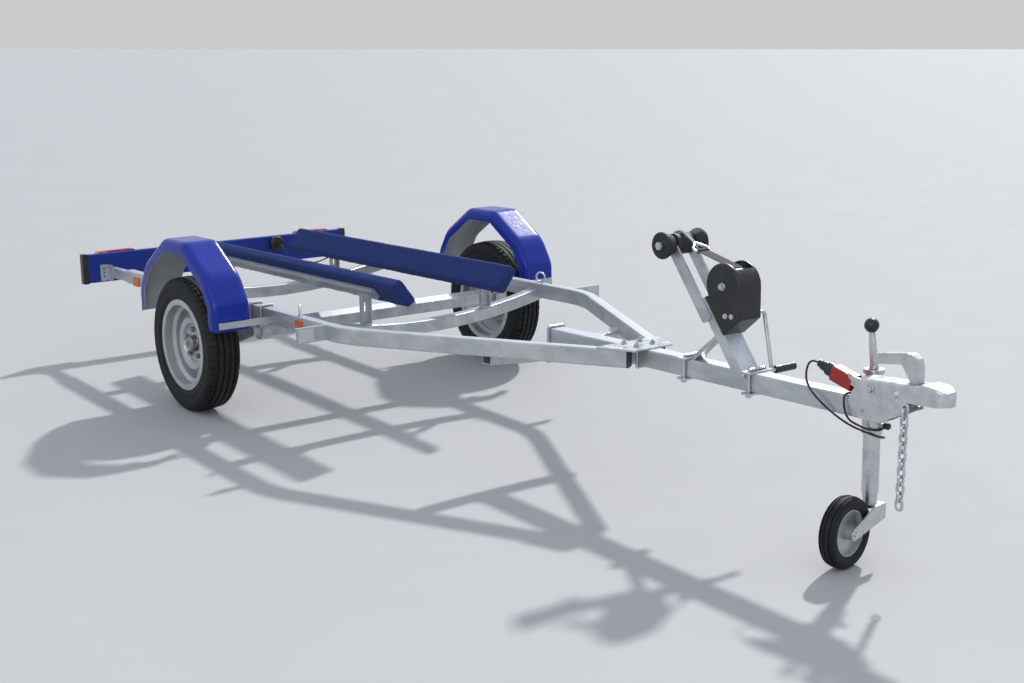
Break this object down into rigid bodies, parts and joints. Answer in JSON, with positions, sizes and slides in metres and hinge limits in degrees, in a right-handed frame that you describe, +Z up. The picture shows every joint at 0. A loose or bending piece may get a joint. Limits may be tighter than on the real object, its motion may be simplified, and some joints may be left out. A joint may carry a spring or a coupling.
{
  "type": "boat trailer",
  "caption": "Galvanised single-axle boat trailer with carpeted bunks, bow rollers, strap winch, light board and swivelling jockey wheel, parked on that wheel",
  "frame": {"origin": "on the floor, under the middle of the trailer's length and width", "axes": "+X forwards to the coupling, +Y to the trailer's left, +Z up"},
  "size_m": [4.3366, 1.66, 0.8894],
  "materials": {
    "galvanised_steel": "hot-dip galvanised, matt grey with a faint spangle",
    "zinc_steel": "bright zinc plate",
    "tyre": "black rubber, slightly dusty",
    "wheel_silver": "silver paint, satin",
    "hub_grey": "grey casting with bright nuts",
    "mudguard_blue": "glossy moulded blue",
    "board_blue": "satin blue",
    "bunk_carpet": "dark blue carpet on timber",
    "black_plastic": "matt black",
    "black_rubber": "matt black",
    "lamp_red": "red lens",
    "reflector_white": "white prism lens with a dark border",
    "reflector_amber": "amber prism lens",
    "reel_steel": "grey webbing on a steel reel",
    "strap_webbing": "dark woven webbing",
    "socket_red": "red plastic"
  },
  "bodies": {
    "frame": {"rail_right": "galvanised_steel", "rail_left": "galvanised_steel", "cross_bows": "galvanised_steel", "drawbar": "galvanised_steel", "drawbar_plates": "galvanised_steel", "axle": "galvanised_steel", "axle_seats": "galvanised_steel", "side_brackets": "galvanised_steel", "bunk_frames": "galvanised_steel", "board_arms": "galvanised_steel", "winch_post": "galvanised_steel", "roller_arms": "galvanised_steel", "coupler_plates": "galvanised_steel", "coupler": "galvanised_steel", "jockey_clamp": "galvanised_steel", "safety_chain": "galvanised_steel", "drawbar_bolts": "zinc_steel", "snap_hook": "zinc_steel", "coupler_lever": "zinc_steel", "tie_rings": "zinc_steel", "mudguard_right": "mudguard_blue", "mudguard_left": "mudguard_blue", "light_board": "board_blue", "bunk_right": "bunk_carpet", "bunk_left": "bunk_carpet", "end_caps": "black_plastic", "winch_cover": "black_plastic", "clamp_knob": "black_plastic", "plug": "black_plastic", "lamp_connector": "black_plastic", "cable": "black_rubber", "lamp_lead": "black_rubber", "grommets": "black_rubber", "tail_lamps": "lamp_red", "white_reflectors": "reflector_white", "amber_reflectors": "reflector_amber", "winch_reel": "reel_steel", "winch_strap": "strap_webbing", "park_socket": "socket_red"},
    "wheel_right": {"tyre_right": "tyre", "rim_right": "wheel_silver", "hub_right": "hub_grey"},
    "wheel_left": {"tyre_left": "tyre", "rim_left": "wheel_silver", "hub_left": "hub_grey"},
    "roller_right": {"roller_right": "black_rubber"},
    "roller_middle": {"roller_middle": "black_rubber"},
    "roller_left": {"roller_left": "black_rubber"},
    "crank": {"crank": "zinc_steel", "crank_grip": "black_plastic"},
    "jockey_tube": {"jockey_tube": "galvanised_steel"},
    "jockey_handle": {"jockey_handle": "zinc_steel", "handle_knob": "black_plastic"},
    "jockey_leg": {"jockey_leg": "galvanised_steel"},
    "jockey_fork": {"jockey_fork": "galvanised_steel"},
    "jockey_wheel": {"jockey_tyre": "tyre", "jockey_rim": "zinc_steel"}
  },
  "joints": [
    {"name": "wheel_right_spin", "type": "hinge", "parent": "frame", "child": "wheel_right", "pos_m": [-0.862, -0.748, 0.27], "axis": [0, 1, 0], "continuous": true},
    {"name": "wheel_left_spin", "type": "hinge", "parent": "frame", "child": "wheel_left", "pos_m": [-0.862, 0.748, 0.27], "axis": [0, 1, 0], "continuous": true},
    {"name": "roller_right_spin", "type": "hinge", "parent": "frame", "child": "roller_right", "pos_m": [1.11156, -0.066, 0.84439], "axis": [0, 1, 0], "continuous": true},
    {"name": "roller_middle_spin", "type": "hinge", "parent": "frame", "child": "roller_middle", "pos_m": [1.11156, 0, 0.84439], "axis": [0, 1, 0], "continuous": true},
    {"name": "roller_left_spin", "type": "hinge", "parent": "frame", "child": "roller_left", "pos_m": [1.11156, 0.066, 0.84439], "axis": [0, 1, 0], "continuous": true},
    {"name": "winch_crank_turn", "type": "hinge", "parent": "frame", "child": "crank", "pos_m": [1.39519, 0, 0.65826], "axis": [0, 1, 0], "continuous": true},
    {"name": "jockey_tube_slide", "type": "slide", "parent": "frame", "child": "jockey_tube", "axis": [-0.0244, 0, 0.9997], "range_m": [0, 0.15]},
    {"name": "jockey_handle_turn", "type": "hinge", "parent": "jockey_tube", "child": "jockey_handle", "pos_m": [1.84932, 0.064, 0.57634], "axis": [-0.0244, 0, 0.9997], "continuous": true},
    {"name": "jockey_leg_slide", "type": "slide", "parent": "jockey_tube", "child": "jockey_leg", "axis": [0.0244, 0, -0.9997], "range_m": [-0.025, 0.15]},
    {"name": "jockey_fork_swivel", "type": "hinge", "parent": "jockey_leg", "child": "jockey_fork", "pos_m": [1.85937, 0.064, 0.16546], "axis": [-0.0244, 0, 0.9997], "continuous": true},
    {"name": "jockey_wheel_spin", "type": "hinge", "parent": "jockey_fork", "child": "jockey_wheel", "pos_m": [1.8764, -0.06305, 0.10699], "axis": [0.9922, 0.1219, 0.0242], "continuous": true}
  ]
}
